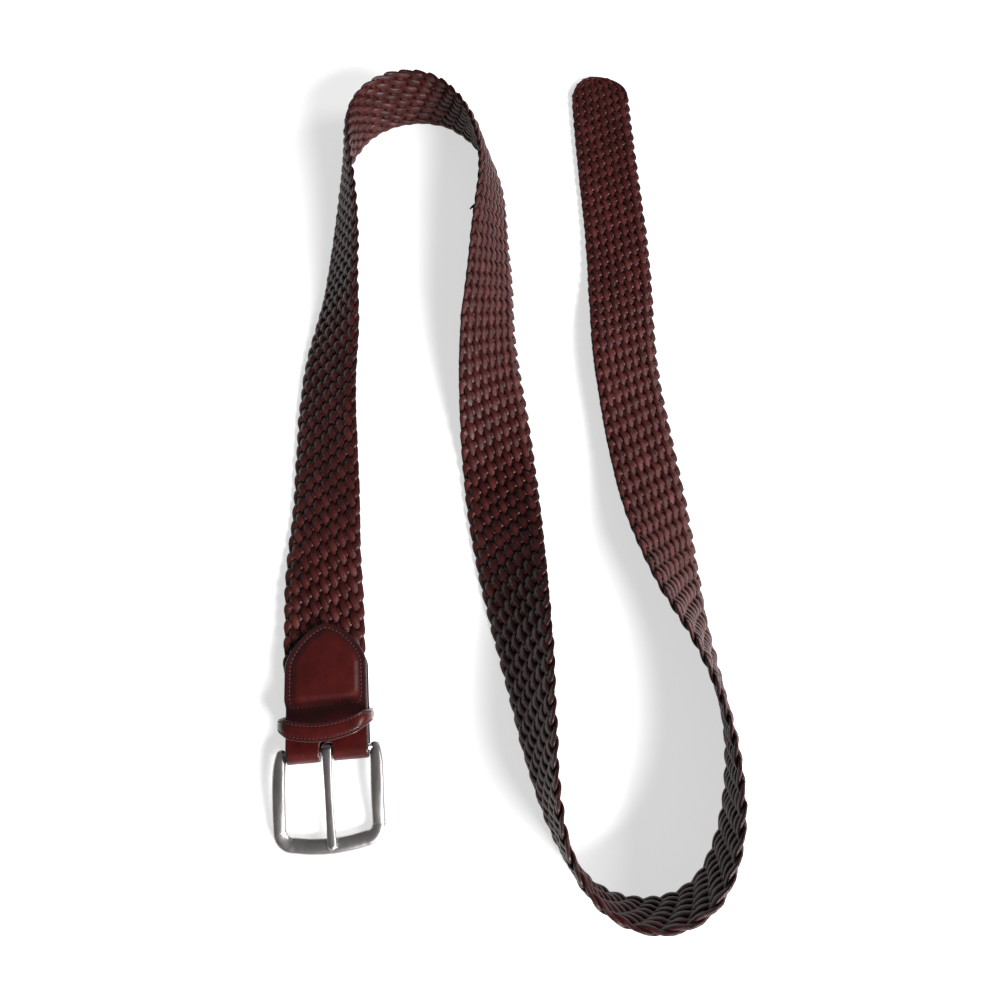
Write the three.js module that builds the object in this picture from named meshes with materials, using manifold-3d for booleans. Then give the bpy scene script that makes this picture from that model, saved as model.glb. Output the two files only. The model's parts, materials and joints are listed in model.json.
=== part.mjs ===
// A braided leather belt with a prong buckle, lying open on a surface in two loops that stand on their edges.
// Millimetres, +Z up. The surface is z = 0, X runs to the viewer's right and Y away from the viewer.
import * as THREE from 'three';
import Module from 'manifold-3d';
import { mergeVertices } from 'three/addons/utils/BufferGeometryUtils.js';

const wasm = await Module();
wasm.setup();

// Clearance that neighbouring pieces keep
const gap = 0.3;

// Braided band
const bandWidth = 32;
const bandThick = 4.2;
const freeLength = 1243; // from the tab's rounded end to the band's tip
const bandTuck = 6; // how far from the bar's axis the band's hidden end lies
const bandShift = -0.8; // how far the band lies to the right of the tab's middle
const grippedWidth = 29.6; // the band's width where the keeper goes round it
const widenLength = 7; // over which it gets its full width, up to the start of the tab's arch
const tipLength = 20;
const tipThick = 3.4;
const tipSkew = 2.5; // how far the tip's point lies towards the band's left edge
const regainLength = 6; // over which the band gets its full thickness back outside the tab
const settleLength = 46; // over which the band comes down from the tab's height to the surface
const stationStep = 7;

// Buckle frame, one casting with its bar
const barRadius = 1.6;
const frameInside = 31.4; // clear width between the side arms
const frameMouth = 32; // clear width at the bar
const armWidth = 5;
const armThick = 3.2;
const armNeck = 4.3; // arm's width where it meets the bar
const endWidth = 5.8;
const endThick = 3.2;
const frameReach = 31.9; // bar's axis to the ends of the end bar's middle line
const frameCorner = 5.2; // radius of the corners along the middle of the metal
const frameBow = 2.4; // how far the side arms arch up
const endBow = 1.4; // how far the end bar bows outward
const frameHeel = 2.3; // how far the arms run past the bar's axis
const frameShift = 0.4; // how far the frame and prong lie to the right of the tab's middle

// Prong
const prongWall = 1.5;
const prongRing = 3.4; // width of the ring that goes round the bar
const prongRunning = 0.25; // clearance round the bar
const prongThick = 1.8;
const prongPast = 3.2; // how far the tip reaches past that line
const prongDrift = 1.1; // how far the tip lies to the right of the frame's middle

// Leather tab, folded round the bar
const leafThick = 1.6;
const barGap = 0.4; // between the bar and the inside of the fold
const tabWidth = 32;
const foldWidth = 30.5; // at the fold and where the keeper goes round
const tabReach = 50.6; // bar's axis to the top of the arch
const archLength = 17.5;
const archPower = 1.55; // 2 makes an elliptical arch, less a more pointed one
const padRise = 1.3; // how far the padded middle stands up inside the stitches
const padInset = 2.8; // edge to the foot of the padding
const padShoulder = 1.6; // width of the padding's slope
const padStart = 18.6; // bar's axis to the foot of the padding
const slotWidth = 5.2;
const spreadLength = 4; // over which the tab gets its full width behind the keeper
const slotReach = 4.2; // how far the prong's slot runs past the bar's axis, on both leaves

// Keeper
const keeperWidth = 7.2;
const keeperThick = 1.6;
const keeperRoom = 5; // height left over the tab for the band's tail
const keeperSide = 0.85; // clearance beside the tab
const keeperCrown = 0.9;
const keeperPlace = 8.2; // bar's axis to the middle of the keeper's top, at its sides
const keeperBow = 2.9; // how far the middle of its top bulges towards the buckle
const keeperTurn = 0.8; // how far it sits askew, in degrees
const keeperLean = 5; // how far its top leans back towards the buckle
const keeperTopCorner = 4.5;
const keeperFootCorner = 1;

// The way the strap points at the buckle, in degrees from +X
const startHeading = 95.5;

// Route of the free band, from the tab's end to the tip. The share is of the free length, the heading is the
// direction of travel in plan, and the roll turns the band about its own length: 0 lies face up, a positive roll
// lifts the right edge and a negative one the left edge. The lower edge always lies on the surface.
const route = [
  { share: 0.0, heading: startHeading, roll: 0 },
  { share: 0.012, heading: 97, roll: 1 },
  { share: 0.034, heading: 92, roll: 15 },
  { share: 0.058, heading: 95, roll: 23 },
  { share: 0.084, heading: 93, roll: 29 },
  { share: 0.11, heading: 88, roll: 34 },
  { share: 0.136, heading: 89, roll: 50 },
  { share: 0.163, heading: 92, roll: 59 },
  { share: 0.204, heading: 92, roll: 77 },
  { share: 0.23, heading: 66, roll: 91 },
  { share: 0.256, heading: 10, roll: 96 },
  { share: 0.282, heading: -47, roll: 83 },
  { share: 0.315, heading: -77, roll: 72 },
  { share: 0.341, heading: -91, roll: 64 },
  { share: 0.366, heading: -90, roll: 53 },
  { share: 0.393, heading: -92, roll: 43 },
  { share: 0.424, heading: -86, roll: 26 },
  { share: 0.467, heading: -85, roll: -5 },
  { share: 0.518, heading: -82, roll: -42 },
  { share: 0.57, heading: -81, roll: -76 },
  { share: 0.597, heading: -62, roll: -95 },
  { share: 0.624, heading: -1, roll: -111 },
  { share: 0.65, heading: 62, roll: -98 },
  { share: 0.681, heading: 88, roll: -82 },
  { share: 0.717, heading: 105, roll: -63 },
  { share: 0.743, heading: 100, roll: -40 },
  { share: 0.77, heading: 97, roll: -21 },
  { share: 0.796, heading: 96, roll: -14 },
  { share: 0.822, heading: 94, roll: -14 },
  { share: 0.848, heading: 89, roll: -11 },
  { share: 0.874, heading: 89, roll: -3 },
  { share: 0.917, heading: 92, roll: 0 },
  { share: 1.0, heading: 90, roll: 0 },
];

// Sizes that follow from the ones above
const barHeight = keeperThick + gap + leafThick + barGap + barRadius;
const leafInside = barRadius + barGap; // bar's axis to the inner face of a leaf
const leafMiddle = leafInside + leafThick / 2;
const grippedThick = 2 * (leafInside - gap);
const tabTop = barHeight + leafInside + leafThick;
const armMiddle = frameInside / 2 + armWidth / 2;
const keeperBack = keeperPlace + keeperLean + keeperWidth / 2; // where the keeper's foot ends behind

// Helpers

function hermite(table, key, at) {
  const last = table.length - 1;
  const slope = (a, b) => (table[b][key] - table[a][key]) / (table[b].share - table[a].share);
  let i = 0;
  while (i < last - 1 && at > table[i + 1].share) i += 1;
  const width = table[i + 1].share - table[i].share;
  const t = (at - table[i].share) / width;
  const startSlope = slope(Math.max(i - 1, 0), i === 0 ? 1 : i + 1);
  const endSlope = slope(i, Math.min(i + 2, last));
  const a = 2 * t ** 3 - 3 * t ** 2 + 1;
  const b = t ** 3 - 2 * t ** 2 + t;
  const c = t ** 3 - t ** 2;
  return a * table[i][key] + b * width * startSlope + (1 - a) * table[i + 1][key] + c * width * endSlope;
}

function ease(x) {
  const t = Math.min(Math.max(x, 0), 1);
  return t * t * (3 - 2 * t);
}

function radians(degrees) {
  return (degrees * Math.PI) / 180;
}

// Joins rings of equally many points into one closed body. A looped body joins its last ring to its first.
function skin(rings, looped = false) {
  const count = rings[0].length;
  const positions = rings.flat().flatMap((p) => [p.x, p.y, p.z]);
  const index = [];
  const spans = looped ? rings.length : rings.length - 1;
  for (let i = 0; i < spans; i += 1) {
    const here = i * count;
    const there = ((i + 1) % rings.length) * count;
    for (let j = 0; j < count; j += 1) {
      const k = (j + 1) % count;
      index.push(here + j, here + k, there + k, here + j, there + k, there + j);
    }
  }
  if (!looped) {
    const end = (rings.length - 1) * count;
    for (let j = 1; j < count - 1; j += 1) {
      index.push(0, j + 1, j);
      index.push(end, end + j, end + j + 1);
    }
  }
  if (signedVolume(positions, index) < 0) index.reverse();
  const geometry = new THREE.BufferGeometry();
  geometry.setAttribute('position', new THREE.Float32BufferAttribute(positions, 3));
  geometry.setIndex(index);
  return geometry;
}

function signedVolume(positions, index) {
  const corner = (i) => new THREE.Vector3().fromArray(positions, 3 * index[i]);
  let sum = 0;
  for (let i = 0; i < index.length; i += 3) {
    sum += corner(i).dot(corner(i + 1).cross(corner(i + 2)));
  }
  return sum;
}

function toSolid(geometry) {
  const bare = geometry.clone();
  bare.deleteAttribute('normal');
  bare.deleteAttribute('uv');
  const merged = mergeVertices(bare, 1e-4);
  const vertProperties = new Float32Array(merged.attributes.position.array);
  const triVerts = new Uint32Array(merged.index.array);
  return new wasm.Manifold(new wasm.Mesh({ numProp: 3, vertProperties, triVerts }));
}

function fromSolid(solid) {
  const mesh = solid.getMesh();
  const geometry = new THREE.BufferGeometry();
  geometry.setAttribute('position', new THREE.BufferAttribute(new Float32Array(mesh.vertProperties), 3));
  geometry.setIndex(new THREE.BufferAttribute(new Uint32Array(mesh.triVerts), 1));
  return geometry;
}

// A rounded section, as pairs of width and thickness offsets, between an ellipse (2) and a rectangle (large)
function roundedSection(width, thick, points, squareness) {
  const section = [];
  for (let i = 0; i < points; i += 1) {
    const angle = (2 * Math.PI * (i + 0.5)) / points;
    const power = 2 / squareness;
    const u = Math.sign(Math.cos(angle)) * Math.abs(Math.cos(angle)) ** power;
    const w = Math.sign(Math.sin(angle)) * Math.abs(Math.sin(angle)) ** power;
    section.push([(u * width) / 2, (w * thick) / 2]);
  }
  return section;
}

function finish(geometry, name, material) {
  const flat = geometry.index ? geometry.toNonIndexed() : geometry;
  flat.computeVertexNormals();
  const mesh = new THREE.Mesh(flat, material);
  mesh.name = name;
  return mesh;
}

// Materials

const braidLeather = new THREE.MeshStandardMaterial({ color: 0x45252a, roughness: 0.55, metalness: 0 });
const smoothLeather = new THREE.MeshStandardMaterial({ color: 0x4e1518, roughness: 0.42, metalness: 0 });
const nickel = new THREE.MeshStandardMaterial({ color: 0xa8a3a0, roughness: 0.3, metalness: 1 });

// Braided band

// Section of the band: shares of the half width and the half thickness, once round
const bandSection = [
  [1, 0.35], [0.965, 0.78], [0.88, 1], [0, 1], [-0.88, 1], [-0.965, 0.78],
  [-1, -0.35], [-0.965, -0.78], [-0.88, -1], [0, -1], [0.88, -1], [0.965, -0.78],
];

// Places along the band, in equal steps inside the tab and in equal steps outside it
function bandPlaces() {
  const grip = tabReach - bandTuck;
  const gripSteps = Math.round(grip / stationStep);
  const freeSteps = Math.round(freeLength / stationStep);
  const places = [];
  for (let i = 0; i < gripSteps; i += 1) places.push(-grip * (1 - i / gripSteps));
  for (let i = 0; i <= freeSteps; i += 1) places.push((freeLength * i) / freeSteps);
  return places;
}

// How high the band's middle stands when its lowest point lies on the surface
function bandRise(roll) {
  const reach = bandSection.map(([u, w]) => u * bandWidth * Math.sin(roll) + w * bandThick * Math.cos(roll));
  return Math.max(...reach) / 2;
}

// The middle line of the band in plan and height, with its roll, one entry for each place
function bandStations() {
  const stations = bandPlaces().map((along) => {
    const share = Math.max(along, 0) / freeLength;
    const heading = radians(hermite(route, 'heading', share));
    const roll = radians(hermite(route, 'roll', share));
    return { along, heading, roll, rise: bandRise(roll) };
  });
  stations.forEach((s, i) => {
    const before = stations[Math.max(i - 1, 0)].rise;
    const after = stations[Math.min(i + 1, stations.length - 1)].rise;
    const lying = Math.max(s.rise, (before + s.rise + after) / 3);
    const held = (barHeight - bandThick / 2) * (1 - ease(s.along / settleLength));
    s.height = lying + held;
  });
  const place = new THREE.Vector2(bandShift, bandTuck);
  place.rotateAround(new THREE.Vector2(0, 0), radians(startHeading - 90));
  stations.forEach((s, i) => {
    if (i > 0) {
      const last = stations[i - 1];
      const plan = Math.sqrt((s.along - last.along) ** 2 - (s.height - last.height) ** 2);
      const heading = (s.heading + last.heading) / 2;
      place.x += plan * Math.cos(heading);
      place.y += plan * Math.sin(heading);
    }
    s.middle = new THREE.Vector3(place.x, place.y, s.height);
  });
  return stations;
}

// Where the band's width and thickness stand at a station, with the tip's rounding and lean
function bandForm(along) {
  const regain = ease(along / regainLength);
  let thick = grippedThick + (bandThick - grippedThick) * regain;
  const widened = ease(1 + (along + archLength) / widenLength);
  let half = (grippedWidth + (bandWidth - grippedWidth) * widened) / 2;
  let shift = 0;
  const into = (along - (freeLength - tipLength)) / tipLength;
  if (into > 0) {
    half *= Math.sqrt(Math.max(1 - into * into, 0.012));
    shift = -tipSkew * into ** 3;
    thick += (tipThick - thick) * ease(into * 1.5);
  }
  return { half, shift, thick };
}

function bandRing(station) {
  const { half, shift, thick } = bandForm(station.along);
  const right = new THREE.Vector3(Math.sin(station.heading), -Math.cos(station.heading), 0);
  const up = new THREE.Vector3(0, 0, 1);
  const across = right.clone().multiplyScalar(Math.cos(station.roll)).addScaledVector(up, Math.sin(station.roll));
  const normal = right.clone().multiplyScalar(-Math.sin(station.roll)).addScaledVector(up, Math.cos(station.roll));
  return bandSection.map(([u, w]) => station.middle.clone()
    .addScaledVector(across, u * half + shift)
    .addScaledVector(normal, (w * thick) / 2));
}

function braidedBand() {
  const stations = bandStations();
  const rings = [];
  const tipSteps = [0.3, 0.55, 0.75, 0.9, 1];
  const body = stations.filter((s) => s.along <= freeLength - tipLength);
  body.forEach((s) => rings.push(bandRing(s)));
  const end = stations[stations.length - 1];
  const tipDirection = new THREE.Vector3(Math.cos(end.heading), Math.sin(end.heading), 0);
  tipSteps.forEach((into) => {
    const along = freeLength - tipLength * (1 - into);
    const middle = end.middle.clone().addScaledVector(tipDirection, along - freeLength);
    rings.push(bandRing({ ...end, along, middle }));
  });
  return finish(skin(rings), 'braided_band', braidLeather);
}

// Leather tab

// Half width of the tab at a place along the strap
function tabHalf(along) {
  const archStart = tabReach - archLength;
  if (along <= archStart) {
    return (foldWidth + (tabWidth - foldWidth) * ease((along - keeperBack) / spreadLength)) / 2;
  }
  const into = (along - archStart) / archLength;
  return (tabWidth / 2) * Math.max(1 - into ** archPower, 0) ** (1 / archPower);
}

// One section of the leaf. The outer face carries the padding, and the foot is the leaf's middle in the s-z plane.
function leafRing(foot, outward, half, pad) {
  const inset = Math.min(padInset, half * 0.45);
  const shoulder = Math.min(padShoulder, half * 0.3);
  const chamfer = Math.min(0.4, half * 0.2);
  const face = leafThick / 2;
  const outer = [
    [-half, face - chamfer], [-half + chamfer, face], [-half + inset, face],
    [-half + inset + shoulder, face + pad * 0.8], [-half * 0.15, face + pad],
    [half * 0.15, face + pad], [half - inset - shoulder, face + pad * 0.8],
    [half - inset, face], [half - chamfer, face], [half, face - chamfer],
  ];
  const inner = [[half, -face + chamfer], [half - chamfer, -face], [-half + chamfer, -face], [-half, -face + chamfer]];
  return [...outer, ...inner].map(([v, w]) => new THREE.Vector3(v, foot.x + outward.x * w, foot.y + outward.y * w));
}

function buckleTab() {
  const archStart = tabReach - archLength;
  const spread = [0, 0.5, 1].map((share) => keeperBack + spreadLength * share);
  const straight = [0, slotReach + 2, ...spread, padStart + padShoulder, archStart - 8];
  const arch = [0, 18, 34, 48, 60, 70, 78, 84].map((a) => archStart + archLength * Math.sin(radians(a)));
  const leaf = [...straight, ...arch];
  const padEnd = tabReach - padInset;
  const padAt = (along) => padRise * ease((along - padStart) / padShoulder) * ease((padEnd - along) / padShoulder);
  const rings = [];
  const up = new THREE.Vector2(0, 1);
  const down = new THREE.Vector2(0, -1);
  [...leaf].reverse().forEach((along) => {
    rings.push(leafRing(new THREE.Vector2(along, barHeight + leafMiddle), up, tabHalf(along), padAt(along)));
  });
  const foldSteps = 10;
  for (let i = 1; i < foldSteps; i += 1) {
    const angle = Math.PI / 2 + (Math.PI * i) / foldSteps;
    const outward = new THREE.Vector2(Math.cos(angle), Math.sin(angle));
    const foot = outward.clone().multiplyScalar(leafMiddle);
    rings.push(leafRing(foot.add(new THREE.Vector2(0, barHeight)), outward, foldWidth / 2, 0));
  }
  leaf.forEach((along) => {
    rings.push(leafRing(new THREE.Vector2(along, barHeight - leafMiddle), down, tabHalf(along), 0));
  });
  const folded = toSolid(skin(rings));
  return finish(fromSolid(folded.subtract(prongSlot())), 'buckle_tab', smoothLeather);
}

// The slot's cutter: straight sides that end in a half round, through the fold and both leaves
function prongSlot() {
  const radius = slotWidth / 2;
  const front = leafInside + leafThick + 2;
  const outline = new THREE.Shape();
  outline.moveTo(-radius, -front);
  outline.lineTo(radius, -front);
  outline.lineTo(radius, slotReach - radius);
  outline.absarc(0, slotReach - radius, radius, 0, Math.PI, false);
  outline.closePath();
  const height = 2 * tabTop;
  const cutter = new THREE.ExtrudeGeometry(outline, { depth: height, bevelEnabled: false, curveSegments: 8 });
  cutter.translate(0, 0, barHeight - height / 2);
  return toSolid(cutter);
}

// Keeper

// The middle line of the keeper's wall in the v-z plane, with its outward direction
function keeperPath() {
  const half = foldWidth / 2 + keeperSide;
  const foot = keeperThick;
  const top = tabTop + keeperRoom;
  const corners = [
    { side: 1, height: top, radius: keeperTopCorner, from: 0, steps: 6 },
    { side: -1, height: top, radius: keeperTopCorner, from: 90, steps: 6 },
    { side: -1, height: foot, radius: keeperFootCorner, from: 180, steps: 4 },
    { side: 1, height: foot, radius: keeperFootCorner, from: 270, steps: 4 },
  ];
  const path = [];
  corners.forEach((c) => {
    const centre = new THREE.Vector2(c.side * (half - c.radius), c.height + (c.height === top ? -1 : 1) * c.radius);
    for (let i = 0; i <= c.steps; i += 1) {
      const angle = radians(c.from + (90 * i) / c.steps);
      const outward = new THREE.Vector2(Math.cos(angle), Math.sin(angle));
      path.push({ at: centre.clone().addScaledVector(outward, c.radius + keeperThick / 2), outward });
    }
    if (c.from === 0) {
      [0.5, 0, -0.5].forEach((share) => {
        const at = new THREE.Vector2(share * half, top + keeperThick / 2);
        path.push({ at, outward: new THREE.Vector2(0, 1) });
      });
    }
  });
  path.forEach((p) => {
    const share = p.at.x / half;
    if (p.at.y > tabTop) p.at.y += keeperCrown * Math.max(1 - share * share, 0);
  });
  return path;
}

function keeper() {
  const top = tabTop + keeperRoom + keeperThick;
  const halfWidth = keeperWidth / 2;
  const halfThick = keeperThick / 2;
  const chamfer = 0.4;
  const section = [
    [halfWidth, -halfThick + chamfer], [halfWidth, halfThick - chamfer], [halfWidth - chamfer, halfThick],
    [0, halfThick + 0.15], [-halfWidth + chamfer, halfThick], [-halfWidth, halfThick - chamfer],
    [-halfWidth, -halfThick + chamfer], [-halfWidth + chamfer, -halfThick], [halfWidth - chamfer, -halfThick],
  ];
  const rings = keeperPath().map(({ at, outward }) => section.map(([s, w]) => {
    const v = at.x + outward.x * w;
    const z = Math.max(at.y + outward.y * w, 0);
    const share = (2 * v) / foldWidth;
    const bow = z > tabTop ? keeperBow * Math.max(1 - share * share, 0) : 0;
    return new THREE.Vector3(v, keeperLean * (1 - z / top) - bow + s, z)
      .applyAxisAngle(new THREE.Vector3(0, 0, 1), radians(keeperTurn))
      .add(new THREE.Vector3(0, keeperPlace, 0));
  }));
  return finish(skin(rings, true), 'keeper', smoothLeather);
}

// Buckle frame

// Half of the frame's middle line, from the heel past the bar down the right arm to the middle of the end bar
function frameHalf() {
  const neckMiddle = frameMouth / 2 + armNeck / 2;
  const cornerStart = frameReach - frameCorner;
  const arms = [
    { v: neckMiddle, s: frameHeel, width: armNeck * 0.5, thick: armThick * 0.45 },
    { v: neckMiddle, s: frameHeel * 0.8, width: armNeck * 0.8, thick: armThick * 0.8 },
    { v: neckMiddle, s: frameHeel * 0.4, width: armNeck * 0.97, thick: armThick * 1.05 },
    { v: neckMiddle, s: -barRadius, width: armNeck, thick: armThick * 1.15 },
    { v: (neckMiddle + armMiddle) / 2, s: -cornerStart * 0.22, width: (armNeck + armWidth) / 2, thick: armThick },
    { v: armMiddle, s: -cornerStart * 0.45, width: armWidth, thick: armThick },
    { v: armMiddle, s: -cornerStart * 0.72, width: armWidth, thick: armThick },
  ];
  const turn = [0, 18, 36, 54, 72, 90].map((angle) => {
    const a = radians(angle);
    const along = angle / 90;
    return {
      v: armMiddle - frameCorner * (1 - Math.cos(a)),
      s: -cornerStart - frameCorner * Math.sin(a),
      width: armWidth + (endWidth - armWidth) * along,
      thick: armThick + (endThick - armThick) * along,
    };
  });
  const flatHalf = armMiddle - frameCorner;
  const end = [0.55, 0].map((share) => ({
    v: flatHalf * share,
    s: -frameReach - endBow * (1 - share * share),
    width: endWidth,
    thick: endThick,
  }));
  return [...arms, ...turn, ...end];
}

// Height of the frame's middle line: level with the bar at one end, lying on the surface at the other
function frameHeight(s) {
  const down = Math.min(Math.max(-s / frameReach, 0), 1);
  return barHeight + (endThick / 2 - barHeight) * down + frameBow * Math.sin(Math.PI * down);
}

function buckleFrame() {
  const half = frameHalf();
  const mirrored = half.slice(0, -1).reverse().map((p) => ({ ...p, v: -p.v }));
  const path = [...half, ...mirrored];
  const rings = path.map((p, i) => {
    const before = path[Math.max(i - 1, 0)];
    const after = path[Math.min(i + 1, path.length - 1)];
    const side = new THREE.Vector2(before.s - after.s, after.v - before.v).normalize();
    const z = frameHeight(p.s);
    return roundedSection(p.width, p.thick, 12, 2.6).map(([u, w]) => new THREE.Vector3(
      p.v + side.x * u,
      p.s + side.y * u,
      Math.max(z + w, 0),
    ));
  });
  const bar = new THREE.CylinderGeometry(barRadius, barRadius, frameMouth + armNeck, 16);
  bar.rotateZ(Math.PI / 2);
  bar.translate(0, 0, barHeight);
  return finish(fromSolid(toSolid(skin(rings)).add(toSolid(bar))), 'buckle_frame', nickel);
}

// Prong

// Sections of the prong from its root in the ring to its tip. Reach is a share of the whole length, rise is the height
// of the middle between the end bar's top (0) and the ring's wall (1), and width is a share of the ring's width.
const prongRows = [
  { share: 0.0, rise: 1.0, width: 0.95, thick: 0.9 },
  { share: 0.08, rise: 0.98, width: 1.05, thick: 1.0 },
  { share: 0.22, rise: 0.86, width: 0.98, thick: 1.0 },
  { share: 0.45, rise: 0.6, width: 0.9, thick: 1.0 },
  { share: 0.7, rise: 0.28, width: 0.93, thick: 1.0 },
  { share: 0.88, rise: 0.04, width: 1.0, thick: 1.0 },
  { share: 0.96, rise: 0.0, width: 0.92, thick: 0.95 },
  { share: 1.0, rise: 0.0, width: 0.5, thick: 0.6 },
];

function prong() {
  const inside = barRadius + prongRunning;
  const outside = inside + prongWall;
  const half = prongRing / 2;
  const bevel = 0.35;
  const profile = [
    [inside, -half], [outside - bevel, -half], [outside, -half + bevel],
    [outside, half - bevel], [outside - bevel, half], [inside, half], [inside, -half],
  ].map(([x, y]) => new THREE.Vector2(x, y));
  const ring = new THREE.LatheGeometry(profile, 20);
  ring.rotateZ(Math.PI / 2);
  ring.translate(0, 0, barHeight);
  const rootHeight = barHeight + inside + prongWall / 2;
  const tipHeight = endThick + gap + prongThick / 2;
  const length = frameReach + prongPast;
  const rings = prongRows.map((row) => {
    const z = tipHeight + (rootHeight - tipHeight) * row.rise;
    const v = prongDrift * row.share ** 1.5;
    return roundedSection(prongRing * row.width, prongThick * row.thick, 10, 2.6)
      .map(([u, w]) => new THREE.Vector3(v + u, -row.share * length, z + w));
  });
  return finish(fromSolid(toSolid(ring).add(toSolid(skin(rings)))), 'prong', nickel);
}

// Assembly

const belt = new THREE.Group();
belt.add(braidedBand());

const buckleEnd = new THREE.Group();
buckleEnd.rotation.z = radians(startHeading - 90);
buckleEnd.add(buckleTab(), keeper());
[buckleFrame(), prong()].forEach((piece) => {
  piece.position.x = frameShift;
  buckleEnd.add(piece);
});
belt.add(buckleEnd);

// The origin is the middle of the lowest plane of the whole belt
belt.updateMatrixWorld(true);
const extent = new THREE.Box3().setFromObject(belt, true);
const middle = extent.getCenter(new THREE.Vector3());
const part = new THREE.Group();
belt.position.set(-middle.x, -middle.y, -extent.min.z);
part.add(belt);

export default part;
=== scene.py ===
"""Visual model of a braided leather belt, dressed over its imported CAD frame.

Lengths are millimetres until a mesh is made, and metres from there on. The band's route and the buckle's sizes repeat
the named values of the part's source.
"""

import json
import math

import bpy
import numpy as np
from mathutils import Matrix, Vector


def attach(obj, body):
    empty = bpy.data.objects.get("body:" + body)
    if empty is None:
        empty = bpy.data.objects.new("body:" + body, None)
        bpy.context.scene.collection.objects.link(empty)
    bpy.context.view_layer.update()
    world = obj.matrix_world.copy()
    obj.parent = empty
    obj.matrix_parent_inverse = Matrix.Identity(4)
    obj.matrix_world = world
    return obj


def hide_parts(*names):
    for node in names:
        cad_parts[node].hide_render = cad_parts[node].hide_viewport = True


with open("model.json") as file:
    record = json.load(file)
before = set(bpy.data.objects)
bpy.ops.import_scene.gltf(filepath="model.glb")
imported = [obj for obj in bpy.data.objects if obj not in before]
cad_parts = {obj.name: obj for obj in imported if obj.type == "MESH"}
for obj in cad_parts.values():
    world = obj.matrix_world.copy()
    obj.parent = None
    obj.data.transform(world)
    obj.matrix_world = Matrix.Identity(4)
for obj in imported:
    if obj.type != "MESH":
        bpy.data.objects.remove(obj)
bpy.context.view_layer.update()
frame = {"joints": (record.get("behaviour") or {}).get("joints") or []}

MM = 0.001
RNG = np.random.default_rng(41)

# Sizes that the source also has

GAP = 0.3
BAND_WIDTH = 32.0
BAND_THICK = 4.2
FREE_LENGTH = 1243.0
BAND_TUCK = 6.0
BAND_SHIFT = -0.8
TIP_LENGTH = 20.0
TIP_SKEW = 2.5
SETTLE_LENGTH = 46.0
STATION_STEP = 7.0

BAR_RADIUS = 1.6
FRAME_INSIDE = 31.4
FRAME_MOUTH = 32.0
ARM_WIDTH = 5.0
ARM_THICK = 3.2
ARM_NECK = 4.3
END_WIDTH = 5.8
END_THICK = 3.2
FRAME_REACH = 31.9
FRAME_CORNER = 5.2
FRAME_BOW = 2.4
END_BOW = 1.4
FRAME_HEEL = 2.3
FRAME_SHIFT = 0.4

PRONG_WALL = 1.5
PRONG_RING = 3.4
PRONG_RUNNING = 0.25
PRONG_THICK = 1.8
PRONG_PAST = 3.2
PRONG_DRIFT = 1.1

LEAF_THICK = 1.6
BAR_GAP = 0.4
TAB_WIDTH = 32.0
FOLD_WIDTH = 30.5
TAB_REACH = 50.6
ARCH_LENGTH = 17.5
ARCH_POWER = 1.55
PAD_INSET = 2.8
PAD_SHOULDER = 1.6
PAD_START = 18.6
SPREAD_LENGTH = 4.0
SLOT_WIDTH = 5.2
SLOT_REACH = 4.2

KEEPER_WIDTH = 7.2
KEEPER_THICK = 1.6
KEEPER_ROOM = 5.0
KEEPER_SIDE = 0.85
KEEPER_CROWN = 0.9
KEEPER_PLACE = 8.2
KEEPER_BOW = 2.9
KEEPER_TURN = 0.8
KEEPER_LEAN = 5.0
KEEPER_TOP_CORNER = 4.5
KEEPER_FOOT_CORNER = 1.0

START_HEADING = 95.5

# Share of the free length, heading and roll in degrees
ROUTE = np.array([
    (0.0, START_HEADING, 0), (0.012, 97, 1), (0.034, 92, 15), (0.058, 95, 23), (0.084, 93, 29), (0.11, 88, 34),
    (0.136, 89, 50), (0.163, 92, 59), (0.204, 92, 77), (0.23, 66, 91), (0.256, 10, 96), (0.282, -47, 83),
    (0.315, -77, 72), (0.341, -91, 64), (0.366, -90, 53), (0.393, -92, 43), (0.424, -86, 26), (0.467, -85, -5),
    (0.518, -82, -42), (0.57, -81, -76), (0.597, -62, -95), (0.624, -1, -111), (0.65, 62, -98), (0.681, 88, -82),
    (0.717, 105, -63), (0.743, 100, -40), (0.77, 97, -21), (0.796, 96, -14), (0.822, 94, -14), (0.848, 89, -11),
    (0.874, 89, -3), (0.917, 92, 0), (1.0, 90, 0),
])

BAR_HEIGHT = KEEPER_THICK + GAP + LEAF_THICK + BAR_GAP + BAR_RADIUS
LEAF_INSIDE = BAR_RADIUS + BAR_GAP
LEAF_MIDDLE = LEAF_INSIDE + LEAF_THICK / 2
TAB_TOP = BAR_HEIGHT + LEAF_INSIDE + LEAF_THICK
ARM_MIDDLE = FRAME_INSIDE / 2 + ARM_WIDTH / 2
KEEPER_BACK = KEEPER_PLACE + KEEPER_LEAN + KEEPER_WIDTH / 2
ARCH_START = TAB_REACH - ARCH_LENGTH

# The buckle's own axes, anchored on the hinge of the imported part

hinge = next(j for j in frame["joints"] if j["name"] == "frame_hinge")
BAR = np.array(hinge["pos_m"]) / MM
TURN = math.radians(START_HEADING)
ACROSS = np.array([math.sin(TURN), -math.cos(TURN), 0.0])
ALONG = np.array([math.cos(TURN), math.sin(TURN), 0.0])
UP = np.array([0.0, 0.0, 1.0])


def place(v, s, z):
    """Buckle coordinates (right, along the strap, up from the surface) to the part's frame, in mm."""
    v, s, z = (np.asarray(a, float)[..., None] for a in (v, s, z))
    return np.array([BAR[0], BAR[1], 0.0]) + v * ACROSS + s * ALONG + z * UP


# Helpers


def ease(x):
    t = np.clip(x, 0, 1)
    return t * t * (3 - 2 * t)


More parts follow.
